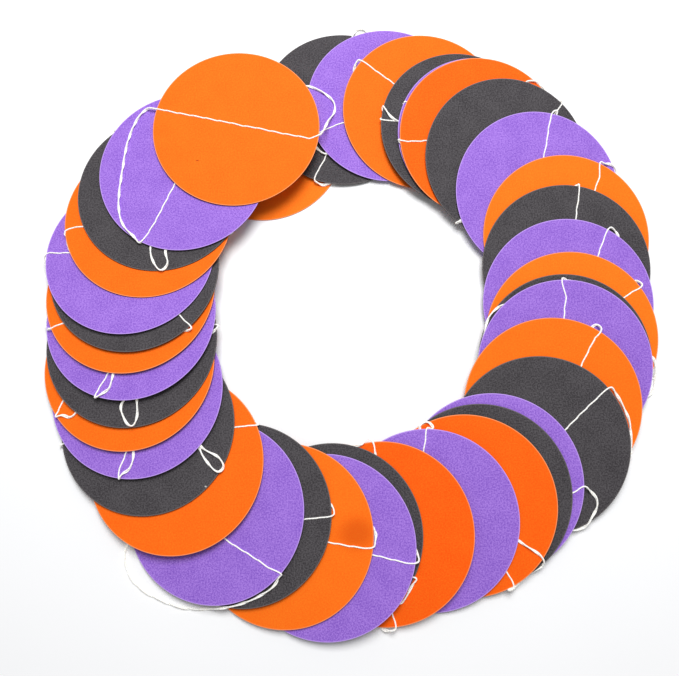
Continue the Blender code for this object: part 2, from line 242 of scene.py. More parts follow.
# Loops that change their layer of the heap at a disc's edge, by their place in the list:
# the first and the last point of that part, and how many discs deeper it lies than the
# rest of the loop, or with a minus sign how many higher.
TUCKED = {5: (1, 2, 1), 6: (1, 4, 2), 12: (0, 0, 1), 20: (8, 11, 2), 36: (2, 5, -1)}
print(len(LOOPS), "stretches of loose thread,", sum(map(len, LOOPS)), "points")

# %% [markdown]
# A limp thread bends smoothly, with no corner at the points that it was given. A
# Catmull-Rom curve passes through every point, and its centripetal form makes no loops
# of its own where points lie close together. A Bezier spline would need handles that
# are set by hand.

# %% Draw a smooth line through points
SAMPLE_STEP = 0.4  # from one point of a loop's line to the next
LOOP_OUT = 0.6  # how far outside a disc's edge the loop's line meets the seam's line
TURN_LENGTH = 1.2  # how far along the loop from there its turn off the disc reaches
STIFFNESS = 0.7  # how far a bend of the thread is rounded off, as a length along it


def smooth_line(points):
    """A centripetal Catmull-Rom curve: each stretch is a blend of three straight lines
    through four neighbouring points, with the root of their distance as its clock."""
    pieces = []
    for p0, p1, p2, p3 in zip(points, points[1:], points[2:], points[3:]):
        t0 = 0.0
        t1 = t0 + math.sqrt(math.dist(p0, p1))
        t2 = t1 + math.sqrt(math.dist(p1, p2))
        t3 = t2 + math.sqrt(math.dist(p2, p3))
        count = max(2, math.ceil(math.dist(p1, p2) / SAMPLE_STEP))
        t = np.linspace(t1, t2, count, endpoint=False)[:, None]
        a1 = (t1 - t) / (t1 - t0) * p0 + (t - t0) / (t1 - t0) * p1
        a2 = (t2 - t) / (t2 - t1) * p1 + (t - t1) / (t2 - t1) * p2
        a3 = (t3 - t) / (t3 - t2) * p2 + (t - t2) / (t3 - t2) * p3
        b1 = (t2 - t) / (t2 - t0) * a1 + (t - t0) / (t2 - t0) * a2
        b2 = (t3 - t) / (t3 - t1) * a2 + (t - t1) / (t3 - t1) * a3
        pieces.append((t2 - t) / (t2 - t1) * b1 + (t - t1) / (t2 - t1) * b2)
    return np.concatenate([*pieces, points[-2:-1]])


def round_off(line, reach):
    """Each point becomes the mean of those near it, weighted by a bell curve of this reach.
    Beyond its ends the line is continued by its own reflection, so that they stay."""
    count = math.ceil(3 * reach / SAMPLE_STEP)
    head, tail = 2 * line[0] - line[count:0:-1], 2 * line[-1] - line[-2 : -count - 2 : -1]
    longer = np.concatenate([head, line, tail])
    weight = np.exp(-((np.arange(-count, count + 1) * SAMPLE_STEP / reach) ** 2) / 2)
    weight /= weight.sum()
    return np.column_stack([np.convolve(column, weight, "valid") for column in longer.T])


def loose_line(before, via, after):
    """The line from the disc before, through the loop's points, to the disc after. Its
    turns onto the seams are left out, because each strand takes them in its own way."""
    points = via
    if before:
        middle = (before.edge_point(0) + before.edge_point(1)) / 2
        points = np.vstack([middle, before.edge_point(1, LOOP_OUT), points])
    else:
        points = np.vstack([2 * points[0] - points[1], points])
    if after:
        middle = (after.edge_point(0) + after.edge_point(1)) / 2
        points = np.vstack([points, after.edge_point(0, LOOP_OUT), middle])
    else:
        points = np.vstack([points, 2 * points[-1] - points[-2]])
    line = round_off(smooth_line(points), STIFFNESS)
    turn = round(TURN_LENGTH / SAMPLE_STEP)
    return line[turn if before else 0 : -turn if after else None]


def distance_along(line):
    """The way along the line to each of its points, seen from above: the sum of the steps."""
    steps = np.linalg.norm(np.diff(line[:, :2], axis=0), axis=1)
    return np.concatenate([[0], np.cumsum(steps)])


print("the longest loop is", round(max(distance_along(smooth_line(p))[-1] for p in LOOPS)), "mm")

# %% [markdown]
# ## How the thread lies
# A machine seam has two threads. The needle thread runs along the top of the card and
# the bobbin thread along its underside, and each hole is where they catch each other.
# Between the discs nothing holds them apart, so they run side by side and twist round
# each other. A physics simulation could drop the thread onto the discs, but the heap is
# known, so its lowest place over it is worked out directly: at no point below what is
# under it, and nowhere steeper than a limp thread hangs.

# %% Find what is under and over a loop
THREAD_DIAMETER = 0.42
STRAND = THREAD_DIAMETER / 2  # the radius of one strand
OPEN_ABOVE = 1000.0  # the height of the ceiling where there is none


def heap_top(line, below, laid):
    """The highest thing under each point: the ground, a disc's top, or thread's top."""
    height = np.zeros(len(line))
    for disc in below:
        near = disc.covers(line, STRAND)
        height[near] = np.maximum(height[near], disc.level(line[near], disc.half))
    if len(laid):
        apart = np.hypot(*(line[:, None] - laid[None, :, :2]).T).T
        height = np.maximum(height, np.where(apart < 2 * STRAND, laid[:, 2], 0).max(axis=1))
    return height


def ceiling(line, above):
    """The lowest underside over each point, or a height far up where nothing covers it."""
    height = np.full(len(line), OPEN_ABOVE)
    for disc in above:
        near = disc.covers(line, STRAND)
        height[near] = np.minimum(height[near], disc.level(line[near], -disc.half))
    return height


def nearest(line, point):
    """The number of the line's point that has the least distance to this one."""
    return int(np.hypot(*(line - point).T).argmin())


def floor_and_ceiling(line, index, laid):
    """What is under and over each point of a loop that lies on the discs after its own
    place in the row, or for its tucked part on the discs after some more of them."""
    under, over = discs[index or 1 :], discs[: index or 1]
    floor, roof = heap_top(line, under, laid), ceiling(line, over)
    if index in TUCKED:
        first, last, count = TUCKED[index]
        start = nearest(line, LOOPS[index][first])
        end = len(line) if last + 1 == len(LOOPS[index]) else nearest(line, LOOPS[index][last])
        part = slice(start, end)
        floor[part] = heap_top(line[part], discs[index + count :], laid)
        roof[part] = ceiling(line[part], discs[: index + count])
    return floor, roof


print(len(TUCKED), "loops change their layer of the heap")

# %% Lay a loop on the heap
STEEPEST = 0.45  # rise of a loose thread for each millimetre along it
STEEPEST_AT_EDGE = 1.8  # where it goes round a disc's edge to get under it
CROSSING_APART = 4.0  # two places this far apart along a loop can cross each other
STACKS = 3  # rounds in which crossings are laid on what the round before laid
PRESSED_IN = 0.12  # how far a thread may be pressed into the card above it


def drape(line, before, after, floor, roof):
    """Heights of the lower of the two strands, and the room there is over it.

    They are the lowest heights that clear the floor and the thread's own earlier turns and
    that rise or fall no faster than STEEPEST. Under a disc they are pressed down again,
    and at its edge they may fall as fast as STEEPEST_AT_EDGE.
    """
    along = distance_along(line)
    fall = STEEPEST * np.abs(along[:, None] - along)
    apart = np.hypot(*(line[:, None] - line[None]).T).T
    crosses = (apart < 3 * STRAND) & (along[:, None] - along > CROSSING_APART)
    lowest = floor + STRAND
    if before:
        lowest[0] = max(lowest[0], before.level(line[:1], -before.half)[0])
    if after:
        lowest[-1] = max(lowest[-1], after.level(line[-1:], -after.half)[0])
    for _ in range(STACKS):
        height = (lowest - fall).max(axis=1)
        over_itself = np.where(crosses, height + 4 * STRAND, 0).max(axis=1)
        lowest = np.maximum(lowest, over_itself)
    height = (lowest - fall).max(axis=1)
    fall *= STEEPEST_AT_EDGE / STEEPEST
    height = np.minimum(height, (roof - STRAND + PRESSED_IN + fall).min(axis=1))
    room = np.clip((roof - height - STRAND) / (2 * STRAND), 0, 1)
    return height, room


print("a loose thread", THREAD_DIAMETER, "mm thick rises", STEEPEST, "mm in each at most")

# %% [markdown]
# The two strands of a loop lie beside each other, and every few millimetres one of them
# climbs over the other. Seen from above the pair is two threads wide where they lie side
# by side, and one thread wide on the longer stretches where one covers the other. Next to
# a disc the needle thread comes down over the edge and the bobbin thread up from under
# it, so a little eye opens between them.

# %% Twist the two strands round each other
TWIST_LENGTH = 10.0
TWIST_DWELL = 0.45  # how much longer one strand lies over the other than beside it
EYE_WIDTH = 0.06  # how far each strand stands out at the eye's widest place
EYE_PLACE = 2.2  # from the loop's end to there
EYE_LENGTH = 1.6  # from there to where the eye is nearly closed


def twist(line, height, room, before, after):
    """The needle and the bobbin strand of a loop. To opposite sides of the line, each is
    off it by its radius times the cosine of an angle that grows with the way along it, and
    whichever has a positive sine is lifted over the other by that share of the diameter."""
    along = distance_along(line)
    long = along[-1]
    turns = max(1, round(long / TWIST_LENGTH))
    angle = math.pi / 2 + 2 * math.pi * turns * along / long
    angle += TWIST_DWELL * np.sin(2 * angle)
    ahead = np.gradient(line, axis=0)
    ahead /= np.linalg.norm(ahead, axis=1)[:, None]
    left = np.column_stack([-ahead[:, 1], ahead[:, 0]])
    eye = np.zeros(len(line))
    if before:
        eye += EYE_WIDTH * np.exp(-(((along - EYE_PLACE) / EYE_LENGTH) ** 2))
    if after:
        eye += EYE_WIDTH * np.exp(-(((long - along - EYE_PLACE) / EYE_LENGTH) ** 2))
    aside = (STRAND + eye) * (room * np.cos(angle) + (1 - room))
    strands = []
    for way in (1, -1):
        lift = 2 * STRAND * room * np.maximum(way * np.sin(angle), 0)
        flat = line + way * aside[:, None] * left
        strands.append(np.column_stack([flat, height + lift]))
    return strands


print("the strands twist once in", TWIST_LENGTH, "mm")

# %% [markdown]
# On a disc each stitch lies straight on the card and dips into the next hole, slightly
# aslant, as a lockstitch always is. The seam starts and ends a few millimetres inside
# the edge, and from its last hole the thread crosses to the edge freely. Where the
# photograph shows a last hole that is off the straight line, it is listed.

# %% Place the holes of a seam
STITCH_LENGTH = 4.0
HOLE_WANDER = 0.09  # how far a hole is off its place, as a standard deviation
EDGE_MARGIN = 3.0  # from a seam's last hole to the edge, where none is listed
# Disc number and end (0 where the thread comes on, 1 where it leaves): how far inside the
# edge the last hole is, and how far left of the line from edge to edge.
LAST_HOLES = {
    (1, 0): (2.5, 1.8), (1, 1): (2.5, 0), (2, 0): (3.5, -0.2), (2, 1): (3, 2.8),
    (4, 0): (3, 1), (4, 1): (2.5, -0.8), (5, 0): (3, 2), (5, 1): (0.5, -0.8),
    (6, 0): (2, 0), (6, 1): (3, 6.2), (7, 0): (0.5, 0), (8, 0): (2, 0.2), (8, 1): (3, 2.8),
    (10, 0): (1.5, 0.2), (10, 1): (3, 5.2), (11, 0): (2, 1), (11, 1): (3, 2),
    (13, 0): (2.5, 0), (13, 1): (3, 1), (14, 0): (3, -2.6), (14, 1): (3.5, -0.6),
    (15, 0): (3, -3), (15, 1): (3.5, 0), (16, 1): (2, -0.4), (17, 0): (3, -1),
    (17, 1): (2, -0.6), (19, 0): (3, -3.2), (19, 1): (2, 0), (20, 0): (3, 6),
    (20, 1): (2.5, 0), (21, 0): (2, -0.2), (21, 1): (3, 0.4), (23, 1): (2, 0),
    (24, 1): (4, 0), (25, 0): (3, -1), (25, 1): (2.5, 0), (26, 0): (3, 8),
    (26, 1): (5, -1.2), (28, 0): (3, -2.6), (29, 0): (3, -0.8), (30, 0): (3, 0.4),
    (30, 1): (3.5, 0.2), (31, 0): (3, 8.6), (31, 1): (4, -1), (32, 0): (3, 1.8),
    (32, 1): (1, 0.6), (33, 0): (3, -2.6), (33, 1): (2.5, 0), (34, 0): (3, -2),
    (34, 1): (2.5, 1), (35, 0): (3, -4.8), (36, 1): (5, -0.7), (37, 1): (5.5, 0.2),
    (38, 0): (3, 1.6), (38, 1): (6.5, -0.2), (39, 0): (3, 2.4), (39, 1): (3.5, 0.4),
}
chance = np.random.default_rng(7)


def seam_holes(number, disc):
    """The holes of a disc's seam, seen from above: evenly spaced between the two last
    ones, each a little off its place."""
    start, end = disc.edge_point(0), disc.edge_point(1)
    way = (end - start) / np.linalg.norm(end - start)
    left = np.array([-way[1], way[0]])
    inset_on, left_on = LAST_HOLES.get((number, 0), (EDGE_MARGIN, 0))
    inset_off, left_off = LAST_HOLES.get((number, 1), (EDGE_MARGIN, 0))
    first = start + inset_on * way + left_on * left
    last = end - inset_off * way + left_off * left
    count = round(float(np.linalg.norm(last - first)) / STITCH_LENGTH)
    share = np.linspace(0, 1, count + 1)[:, None]
    wander = chance.normal(0, HOLE_WANDER, (count + 1, 2))
    wander[[0, -1]] = 0
    return first + share * (last - first) + wander


print(len(LAST_HOLES), "last holes are listed")

# %% Sew the stitches
STITCH_SLANT = 0.3  # how far a stitch goes sideways from one hole to the next
HOLE_WIDTH = 0.4
SEWN_RISE = 0.8 * STRAND  # a sewn strand's middle over the card, which it is pulled into
# The places along a stitch that get a point, as shares of it: close together at its holes.
STITCH_PHASES = np.array([0, 0.04, 0.09, 0.15, 0.3, 0.5, 0.7, 0.85, 0.91, 0.96])


def stitches(disc, holes, side):
    """One thread of a seam, on the top (side 1) or the underside (side -1) of the card.

    Between two holes it goes straight, a little aslant. Its height over the card is a
    bell-shaped dip to the card's middle at each hole.
    """
    count = len(holes) - 1
    at = (np.arange(count)[:, None] + STITCH_PHASES).ravel()
    at = np.append(at, count)
    order = np.arange(count + 1)
    flat = np.column_stack([np.interp(at, order, holes[:, k]) for k in range(2)])
    way = (holes[-1] - holes[0]) / np.linalg.norm(holes[-1] - holes[0])
    left = np.array([-way[1], way[0]])
    from_hole = np.abs(at - np.round(at)) * STITCH_LENGTH
    dip = np.exp(-((from_hole / HOLE_WIDTH) ** 2))
    aslant = STITCH_SLANT * (0.5 - at % 1) * (1 - dip)
    flat = flat + side * aslant[:, None] * left
    above = side * (disc.half + SEWN_RISE) * (1 - dip)
    height = np.maximum(disc.level(flat) + above / disc.normal[2], STRAND)
    return np.column_stack([flat, height])


print(len(STITCH_PHASES), "points to a stitch of", STITCH_LENGTH, "mm")

# %% Take the thread over the edge
EDGE_POINTS = 12  # points between a last hole and the loop, both of them counted


def cross_to_edge(disc, hole, loop, side):
    """The thread from a last hole to the start of a loop, over or under the card's edge.

    It is a quadratic Bezier curve, whose middle point is where the loop's line, run on
    backwards, meets the seam's. Going out, its height passes from the card's face to the
    loop's.
    """
    share = np.linspace(0, 1, EDGE_POINTS)[1:-1, None]
    back = loop[0, :2] - loop[1, :2]
    corner = loop[0, :2] + TURN_LENGTH * back / np.linalg.norm(back)
    flat = (1 - share) ** 2 * hole + 2 * share * (1 - share) * corner + share**2 * loop[0, :2]
    out = np.linalg.norm(flat - hole, axis=1)
    dip = np.exp(-((out / HOLE_WIDTH) ** 2))
    face = disc.level(flat) + side * (disc.half + SEWN_RISE) * (1 - dip) / disc.normal[2]
    let_go = np.clip((share[:, 0] - 0.5) / 0.5, 0, 1) ** 2
    let_go[disc.covers(flat, 0)] = 0
    height = np.maximum(face + let_go * (loop[0, 2] - face), STRAND)
    return np.column_stack([flat, height])


# %% [markdown]
# Now the whole thread is laid as the heap grew, from the free end under disc 40 up to
# disc 1, because each loop lies on what was there before it. The needle and the bobbin
# strand are collected on the way.

# %% Lay the whole thread
SEAM_POINTS = 100  # points that stand for a seam, for the loops that are laid on it later


def relax(line):
    """Takes the last sharpness out of a strand: twice over, each point but the two ends
    becomes half itself and a quarter of each neighbour."""
    for _ in range(2):
        line[1:-1] = line[1:-1] / 2 + (line[:-2] + line[2:]) / 4
    return line


def sewn_disc(disc, loop_in, loop_out, side):
    """A strand's way over one disc, between the loop that comes in and the one that leaves."""
    holes = disc.holes
    way_in = cross_to_edge(disc, holes[0], loop_in[::-1], side)[::-1]
    way_out = cross_to_edge(disc, holes[-1], loop_out, side)
    return np.concatenate([way_in, stitches(disc, holes, side), way_out])


def lay_thread():
    """Both strands of the whole thread, from the free end at disc 1 to the other one."""
    loops = []
    laid = np.zeros((0, 3))
    for index in range(len(discs), -1, -1):
        before = discs[index - 1] if index else None
        after = discs[index] if index < len(discs) else None
        line = loose_line(before, LOOPS[index], after)
        height, room = drape(line, before, after, *floor_and_ceiling(line, index, laid))
        loops.insert(0, twist(line, height, room, before, after))
        laid = np.vstack([laid, np.column_stack([line, height + (1 + 2 * room) * STRAND])])
        if before:
            before.holes = seam_holes(index, before)
            seam = np.linspace(0, 1, SEAM_POINTS)[:, None]
            seam = before.holes[0] + seam * (before.holes[-1] - before.holes[0])
            top = before.level(seam, before.half) + 2 * STRAND
            laid = np.vstack([laid, np.column_stack([seam, top])])
    strands = []
    for strand, side in enumerate((1, -1)):
        parts = [loops[0][strand]]
        for number, disc in enumerate(discs, 1):
            into, out = loops[number - 1][strand], loops[number][strand]
            parts += [sewn_disc(disc, into, out, side), out]
        strands.append(relax(np.concatenate(parts)))
    return strands


def length_of(line):
    """The sum of the distances in space from each point to the next."""
    return float(np.linalg.norm(np.diff(line, axis=0), axis=1).sum())


needle_line, bobbin_line = lay_thread()
print("needle thread:", len(needle_line), "points,", round(length_of(needle_line)), "mm")
print("bobbin thread:", len(bobbin_line), "points,", round(length_of(bobbin_line)), "mm")

# %% [markdown]
# ## Putting a surface into Blender
# Every piece here is a grid: rows of points with the same number of points in each.
# Only the closing faces at its two ends differ. numpy works out all the points and faces
# at once, which is far quicker than adding them one by one.

# %% Make a mesh from a grid
def grid_faces(rows, columns):
    """Four-sided faces between each row of points and the next, closed round the row."""
    here = np.arange(columns)
    there = (here + 1) % columns
    row = columns * np.arange(rows - 1)[:, None]
    return np.stack([row + here, row + there, row + columns + there, row + columns + here], -1)


def new_piece(name, points, faces, material):
    """A smooth-shaded mesh object at the origin, from points in millimetres."""
    mesh = bpy.data.meshes.new(name)
    mesh.from_pydata(points * MM, [], faces)
    mesh.validate()
    mesh.shade_smooth()
    mesh.materials.append(material)
    piece = bpy.data.objects.new(name, mesh)
    bpy.context.scene.collection.objects.link(piece)
    return piece


def add_uv(piece, name, values):
    """A UV map from one pair of numbers for each point of the mesh."""
    layer = piece.data.uv_layers.new(name=name)
    corners = np.empty(len(piece.data.loops), np.int32)
    piece.data.loops.foreach_get("vertex_index", corners)
    layer.data.foreach_set("uv", values[corners].astype(np.float32).ravel())


def add_values(piece, name, values):
    """A named number for each point of the mesh, for its material to read."""
    attribute = piece.data.attributes.new(name, "FLOAT", "POINT")
    attribute.data.foreach_set("value", values.astype(np.float32))


print("a grid of 3 rows of 4 points has", len(grid_faces(3, 4).reshape(-1, 4)), "faces")

# %% [markdown]
# ## Materials
# One small function adds a node, sets its values and links it, so that a material reads
# from top to bottom like a recipe. Colours are written as the sRGB hex values that a
# screen shows, and another function turns them into the linear values that light needs.

# %% Two helpers for materials
def linear(hex_colour):
    """The sRGB curve undone: each channel is raised to the power 2.4, near black divided."""
    channels = [int(hex_colour[i : i + 2], 16) / 255 for i in (1, 3, 5)]
    return (*[c / 12.92 if c < 0.04045 else ((c + 0.055) / 1.055) ** 2.4 for c in channels], 1)


def add_node(material, kind, settings=None, **inputs):
    """Adds a node. settings are its own properties; each input takes a value or a socket."""
    node = material.node_tree.nodes.new(kind)
    for key, value in (settings or {}).items():
        setattr(node, key, value)
    for key, value in inputs.items():
        socket = node.inputs[int(key[1:]) if key[1:].isdigit() else key.replace("_", " ")]
        if isinstance(value, bpy.types.NodeSocket):
            material.node_tree.links.new(value, socket)
        else:
            socket.default_value = value
    return node


def new_material(name, **shader_inputs):
    """An empty node material with a Principled shader at its output."""
    material = bpy.data.materials.new(name)
    material.use_nodes = True
    shader = material.node_tree.nodes["Principled BSDF"]
    for key, value in shader_inputs.items():
        shader.inputs[key.replace("_", " ")].default_value = value
    return material, shader


print("#808080 is", round(linear("#808080")[0], 3), "of full light")

# %% [markdown]
# ### Craft card
# The discs are punched from craft card of about 200 g/m2 that is dyed through. It is
# made like paper, from a wet mat of fibres pressed on a felt: matt, with fibres about
# 0.3 mm apart that took the dye unevenly, and a faint cloudiness from the way the pulp
# The punch presses the edges round and slightly paler, and a painted highlight lies on them.
# The real fibres are 0.02 to 0.3 mm across, and only the coarsest show at this distance.
# Each disc has its own place on a large imaginary sheet, so no two have the same grain.
# An image of real card could be laid on instead, but noise needs no file and never
# repeats.

# %% Measure the card
FIBRE_GRAIN = 0.42  # a little coarser than the real 0.3, so that it shows
CLOUD_SIZE = 6.0
CLOUD_SHARE = 0.15  # how much the clouds weigh against the grain
GRAIN_HEIGHT = 0.02
SHEET_STEP = np.array([61.8, 23.6])  # from one disc's place on the sheet to the next's
print("the sheet is", np.round(SHEET_STEP * len(discs)), "mm long and wide")

# %% List the single discs' tones and marks
# How much paler or deeper single discs are drawn, as a share of the way from the dyed colour to
# that of its paler fibres: partly uneven dye and partly painted light and shade.
DYE_AND_LIGHT_TONES = {
    13: -0.06, 16: 0.1, 19: -0.25, 21: -0.19, 25: 0.1, 28: 0.23, 31: 0.19, 34: -0.19, 40: 0.25,
}
# Marks on single discs: disc number, place from its middle, half length and half width,
# direction in degrees, how sharp the mark's edge is, its colour and its strength.
MARKS = {
    "orange": [
        (1, (-11.2, -10.7), (0.6, 0.22), -10, 1.5, "#6E2400", 0.7),
        # On disc 16 a broad patch is drawn darker.
        (16, (20.3, 0.6), (7.5, 6.5), 15, 0.25, "#D24C00", 0.6),
    ],
    "purple": [],
    "black": [
        (3, (-20.0, -12.2), (0.35, 0.25), 30, 1.5, "#1E1A1C", 0.7),
        (12, (17.6, -17.0), (0.4, 0.25), -15, 1.5, "#C8C8C4", 0.8),
    ],
}
print(len(DYE_AND_LIGHT_TONES), "discs have a tone of their own, and", sum(map(len, MARKS.values())), "marks")


# %% Draw a mark
def add_mark(material, place, colour, mark):
    """Mixes one mark's colour in, most at its middle and none beyond its length and width:
    the distance from its middle, with both halves as one, is taken from one."""
    number, middle, halves, degrees, sharpness, mark_colour, strength = mark
    at = SHEET_STEP * number + middle
    centred = add_node(
        material, "ShaderNodeMapping", {"vector_type": "TEXTURE"},
        Vector=place, Location=(*at, 0), Rotation=(0, 0, math.radians(degrees)),
        Scale=(*halves, 1),
    )
    away = add_node(
        material, "ShaderNodeVectorMath", {"operation": "LENGTH"}, _0=centred.outputs[0]
    )
    share = add_node(
        material, "ShaderNodeMapRange", {"interpolation_type": "SMOOTHSTEP"},
        Value=away.outputs["Value"], From_Min=1 - 1 / (1 + sharpness), From_Max=1.0,
        To_Min=strength, To_Max=0.0,
    )
    return add_node(
        material, "ShaderNodeMix", {"data_type": "RGBA"},
        Factor=share.outputs[0], _6=colour, _7=linear(mark_colour),
    ).outputs[2]


# %% Make the card
def make_card(name, colour, pale, rim_highlight_colour, wall_shade_colour, contrast, marks):
    """Card: its colour is mixed by a fine grain and by clouds, and bumped by the grain, and each
    disc's own tone moves the mix. The rounded edge is paler, partly as the punch pressed it and
    partly by a painted highlight, and the wall of the edge below it is darker by painted shade."""
    material, shader = new_material(name, Roughness=0.7, Sheen_Weight=0.05, Sheen_Roughness=0.5)
    shader.inputs["Specular IOR Level"].default_value = 0.1
    place = add_node(material, "ShaderNodeUVMap", {"uv_map": "sheet"})
    grain = add_node(
        material, "ShaderNodeTexNoise", {"noise_dimensions": "2D"},
        Vector=place.outputs["UV"], Scale=1 / FIBRE_GRAIN, Detail=3.0, Roughness=0.7,
    )
    clouds = add_node(
        material, "ShaderNodeTexNoise", {"noise_dimensions": "2D"},
        Vector=place.outputs["UV"], Scale=1 / CLOUD_SIZE, Detail=2.0, Roughness=0.5,
    )
    both = add_node(
        material, "ShaderNodeMath", {"operation": "MULTIPLY_ADD"},
        _0=clouds.outputs["Fac"], _1=CLOUD_SHARE, _2=grain.outputs["Fac"],
    )
    mean, spread = 0.5 + CLOUD_SHARE / 2, 0.5 / contrast
    share = add_node(
        material, "ShaderNodeMapRange", None,
        Value=both.outputs[0], From_Min=mean - spread, From_Max=mean + spread,
    )
    # The disc's tone, partly uneven dye and partly painted light and shade, moves the mix.
    tone = add_node(material, "ShaderNodeAttribute", {"attribute_name": "tone"})
    paleness = add_node(
        material, "ShaderNodeMath", {"operation": "ADD"}, _0=share.outputs[0],
        _1=tone.outputs["Fac"],
    )
    dyed = add_node(
        material, "ShaderNodeMix", {"data_type": "RGBA"},
        Factor=paleness.outputs[0], _6=linear(colour), _7=linear(pale),
    )
    marked = dyed.outputs[2]
    for mark in marks:
        marked = add_mark(material, place.outputs["UV"], marked, mark)
    # The paler rounded edge, partly pressed so by the punch and partly a painted highlight.
    rim_highlight = add_node(material, "ShaderNodeAttribute", {"attribute_name": "rim_highlight"})
    rim_with_highlight = add_node(
        material, "ShaderNodeMix", {"data_type": "RGBA"},
        Factor=rim_highlight.outputs["Fac"], _6=marked, _7=linear(rim_highlight_colour),
    )
    # Painted shade on the wall of the edge below it.
    wall_shade = add_node(material, "ShaderNodeAttribute", {"attribute_name": "wall_shade"})
    surface = add_node(
        material, "ShaderNodeMix", {"data_type": "RGBA"},
        Factor=wall_shade.outputs["Fac"], _6=rim_with_highlight.outputs[2], _7=linear(wall_shade_colour),
    )
    bump = add_node(
        material, "ShaderNodeBump", None,
        Strength=0.5, Distance=GRAIN_HEIGHT * MM, Height=grain.outputs["Fac"],
    )
    link = material.node_tree.links.new
    link(surface.outputs[2], shader.inputs["Base Color"])
    link(bump.outputs["Normal"], shader.inputs["Normal"])
    return material


# %% Dye it in the three colours
# The dyed colour, the colour of its paler fibres, of the paler edge with its painted highlight,
# of the painted shade on the edge's wall, and how strongly the grain shows.
CARD_COLOURS = {
    "orange": ("#F85000", "#FC821C", "#FF9A60", "#7A2400", 1.0),
    "purple": ("#8157C0", "#A77DDE", "#C2A0F0", "#34185A", 3.7),
    "black": ("#353235", "#565356", "#6A6565", "#121012", 3.7),
}
cards = {
    key: make_card(f"{key}_craft_card", *CARD_COLOURS[key], MARKS[key]) for key in CARD_COLOURS
}
print("materials:", [m.name for m in cards.values()])

# %% [markdown]
# ### Sewing thread
# White spun polyester: two plies of short fibres twisted together, soft and matt, with a
# slightly warm white. The plies wind round the thread about once in a millimetre, with a groove
# between them that is darkened by painted shade, and loose fibres cloud the white. Both are too
# fine to show from the photograph's distance.
# Light passes between the fibres, so the shaded side is hardly darker than the lit one, and a
# faint painted glow makes the whole thread brighter.

# %% Make the thread's material
PLY_LENGTH = 1.0
PLY_HEIGHT = 0.05
FUZZ_SIZE = 0.4  # real fibres are 0.02 mm thick, drawn as coarse as their tufts
GROOVE_SHADE_SHARE = 0.25  # how much the grooves weigh against the fuzz
PAINTED_GLOW = 0.14


def make_thread_material():
    """Thread: bands that wind round it like the stripes of a barber's pole, by the sine of the
    way along it plus the angle round it. They bump it and, with a noise for the fuzz, shade its
    white: the darker grooves between the plies are painted shade."""
    material, shader = new_material(
        "spun_polyester_thread", Roughness=0.75, Sheen_Weight=0.3, Sheen_Roughness=0.4
    )
    shader.inputs["Specular IOR Level"].default_value = 0.3
    shader.inputs["Subsurface Weight"].default_value = 0.7
    shader.inputs["Subsurface Radius"].default_value = (1.0, 0.95, 0.9)
    shader.inputs["Subsurface Scale"].default_value = THREAD_DIAMETER * MM
    # A painted glow, which brightens the thread all over.
    shader.inputs["Emission Color"].default_value = linear("#FFFBF2")
    shader.inputs["Emission Strength"].default_value = PAINTED_GLOW
    turn = add_node(material, "ShaderNodeUVMap", {"uv_map": "turn"})
    split = add_node(material, "ShaderNodeSeparateXYZ", None, Vector=turn.outputs["UV"])
    winding = add_node(
        material, "ShaderNodeMath", {"operation": "MULTIPLY_ADD"},
        _0=split.outputs["X"], _1=2 * math.pi / PLY_LENGTH, _2=split.outputs["Y"],
    )
    wave = add_node(material, "ShaderNodeMath", {"operation": "SINE"}, _0=winding.outputs[0])
    fuzz = add_node(
        material, "ShaderNodeTexNoise", {"noise_dimensions": "2D"},
        Vector=turn.outputs["UV"], Scale=1 / FUZZ_SIZE, Detail=2.0, Roughness=0.6,
    )
    # The grooves' darker white is painted shade; the fuzz is the fibres' own.
    paleness = add_node(
        material, "ShaderNodeMath", {"operation": "MULTIPLY_ADD"},
        _0=wave.outputs[0], _1=GROOVE_SHADE_SHARE, _2=fuzz.outputs["Fac"],
    )
    white = add_node(
        material, "ShaderNodeMix", {"data_type": "RGBA"},
        Factor=paleness.outputs[0], _6=linear("#F8F2E4"), _7=linear("#FFFFFD"),
    )
    bump = add_node(
        material, "ShaderNodeBump", None,
        Strength=0.6, Distance=PLY_HEIGHT * MM, Height=wave.outputs[0],
    )
    link = material.node_tree.links.new
    link(white.outputs[2], shader.inputs["Base Color"])
    link(bump.outputs["Normal"], shader.inputs["Normal"])
    return material


thread_material = make_thread_material()
print("material:", thread_material.name)

# %% [markdown]
# ## The threads
# A thread is a circle carried along its line. At each point the circle stands across
# the direction of the line, with one axis level and the other as upright as it can be,
# so the tube never twists. A curve object with a bevel would do the same, but a mesh can
# carry the way along the thread for its material.

# %% Carry a circle along a line
TUBE_SIDES = 7


def tube(line, radius, sides):
    """Rings of points and their angles. A ring is its point of the line, plus the radius
    times the cosine of the angle, level and across the line, plus the radius times its
    sine, square to that and to the line."""
    ahead = np.gradient(line, axis=0)
    ahead /= np.linalg.norm(ahead, axis=1)[:, None]
    across = np.cross(ahead, [0.0, 0.0, 1.0])
    across /= np.linalg.norm(across, axis=1)[:, None]
    up = np.cross(across, ahead)
    angle = np.linspace(0, 2 * math.pi, sides, endpoint=False)[:, None]
    ring = np.cos(angle) * across[:, None] + np.sin(angle) * up[:, None]
    return line[:, None] + radius * ring, angle[:, 0]


